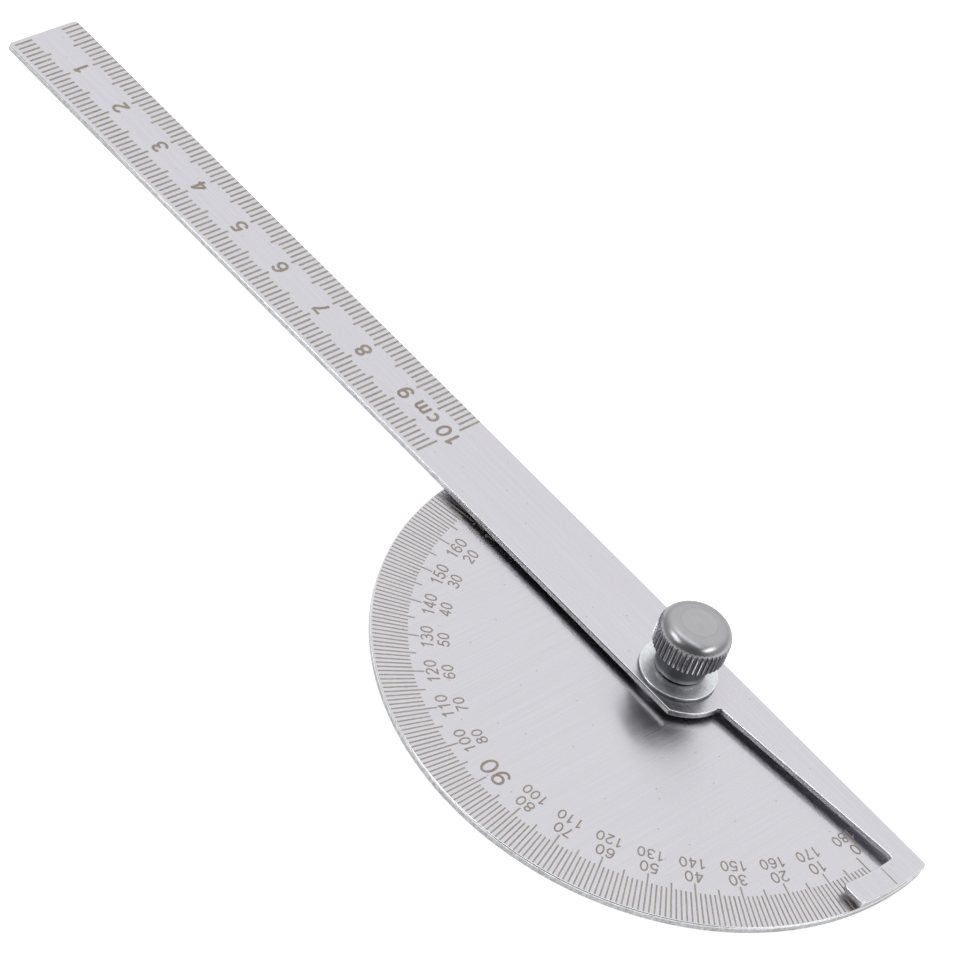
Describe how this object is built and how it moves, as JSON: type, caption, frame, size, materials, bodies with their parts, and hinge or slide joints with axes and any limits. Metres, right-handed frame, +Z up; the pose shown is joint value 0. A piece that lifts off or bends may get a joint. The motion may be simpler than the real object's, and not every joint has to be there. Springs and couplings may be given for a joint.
{
  "type": "protractor",
  "caption": "Half-disc steel protractor with a swinging centimetre rule on its pivot, an index pointer over the degree scale, and a knurled clamp nut.",
  "frame": {"origin": "centre of the stud's flush underside, on the pivot axis, in the plane that the tool rests on", "axes": "+X along the rule towards its zero end, +Y from the pivot towards the 90 degree mark of the half disc, +Z up out of the scale face along the pivot axis"},
  "size_m": [0.1975, 0.0523, 0.013],
  "materials": {
    "head_steel": "brushed stainless sheet, fine straight grain across the half disc, etched grey-brown marks",
    "blade_steel": "brushed stainless strip, satin, with burnished sheared edges and etched marks",
    "stud_steel": "turned steel, plated, satin",
    "spacer_steel": "plain steel, satin",
    "washer_zinc": "bright zinc plate with a slight blue tint",
    "knob_steel": "nickel-plated turned steel, satin, straight knurl"
  },
  "bodies": {
    "head": {"head_plate": "head_steel", "pivot_stud": "stud_steel"},
    "spacer": {"spacer_washer": "spacer_steel"},
    "blade": {"rule_blade": "blade_steel"},
    "washer": {"flat_washer": "washer_zinc"},
    "knob": {"clamp_knob": "knob_steel"}
  },
  "joints": [
    {"name": "blade_swing", "type": "hinge", "parent": "head", "child": "blade", "pos_m": [0, 0, 0.0025], "axis": [0, 0, -1], "continuous": true},
    {"name": "spacer_spin", "type": "hinge", "parent": "head", "child": "spacer", "pos_m": [0, 0, 0.0016], "axis": [0, 0, -1], "continuous": true},
    {"name": "clamp_lift", "type": "slide", "parent": "head", "child": "washer", "axis": [0, 0, 1], "range_m": [0, 0.004]},
    {"name": "knob_turn", "type": "hinge", "parent": "washer", "child": "knob", "pos_m": [0, 0, 0.008], "axis": [0, 0, 1], "range_deg": [0, 1800]}
  ],
  "couplings": [
    {"joint": "clamp_lift", "follows": "knob_turn", "m_per_rad": 0.00012732}
  ]
}
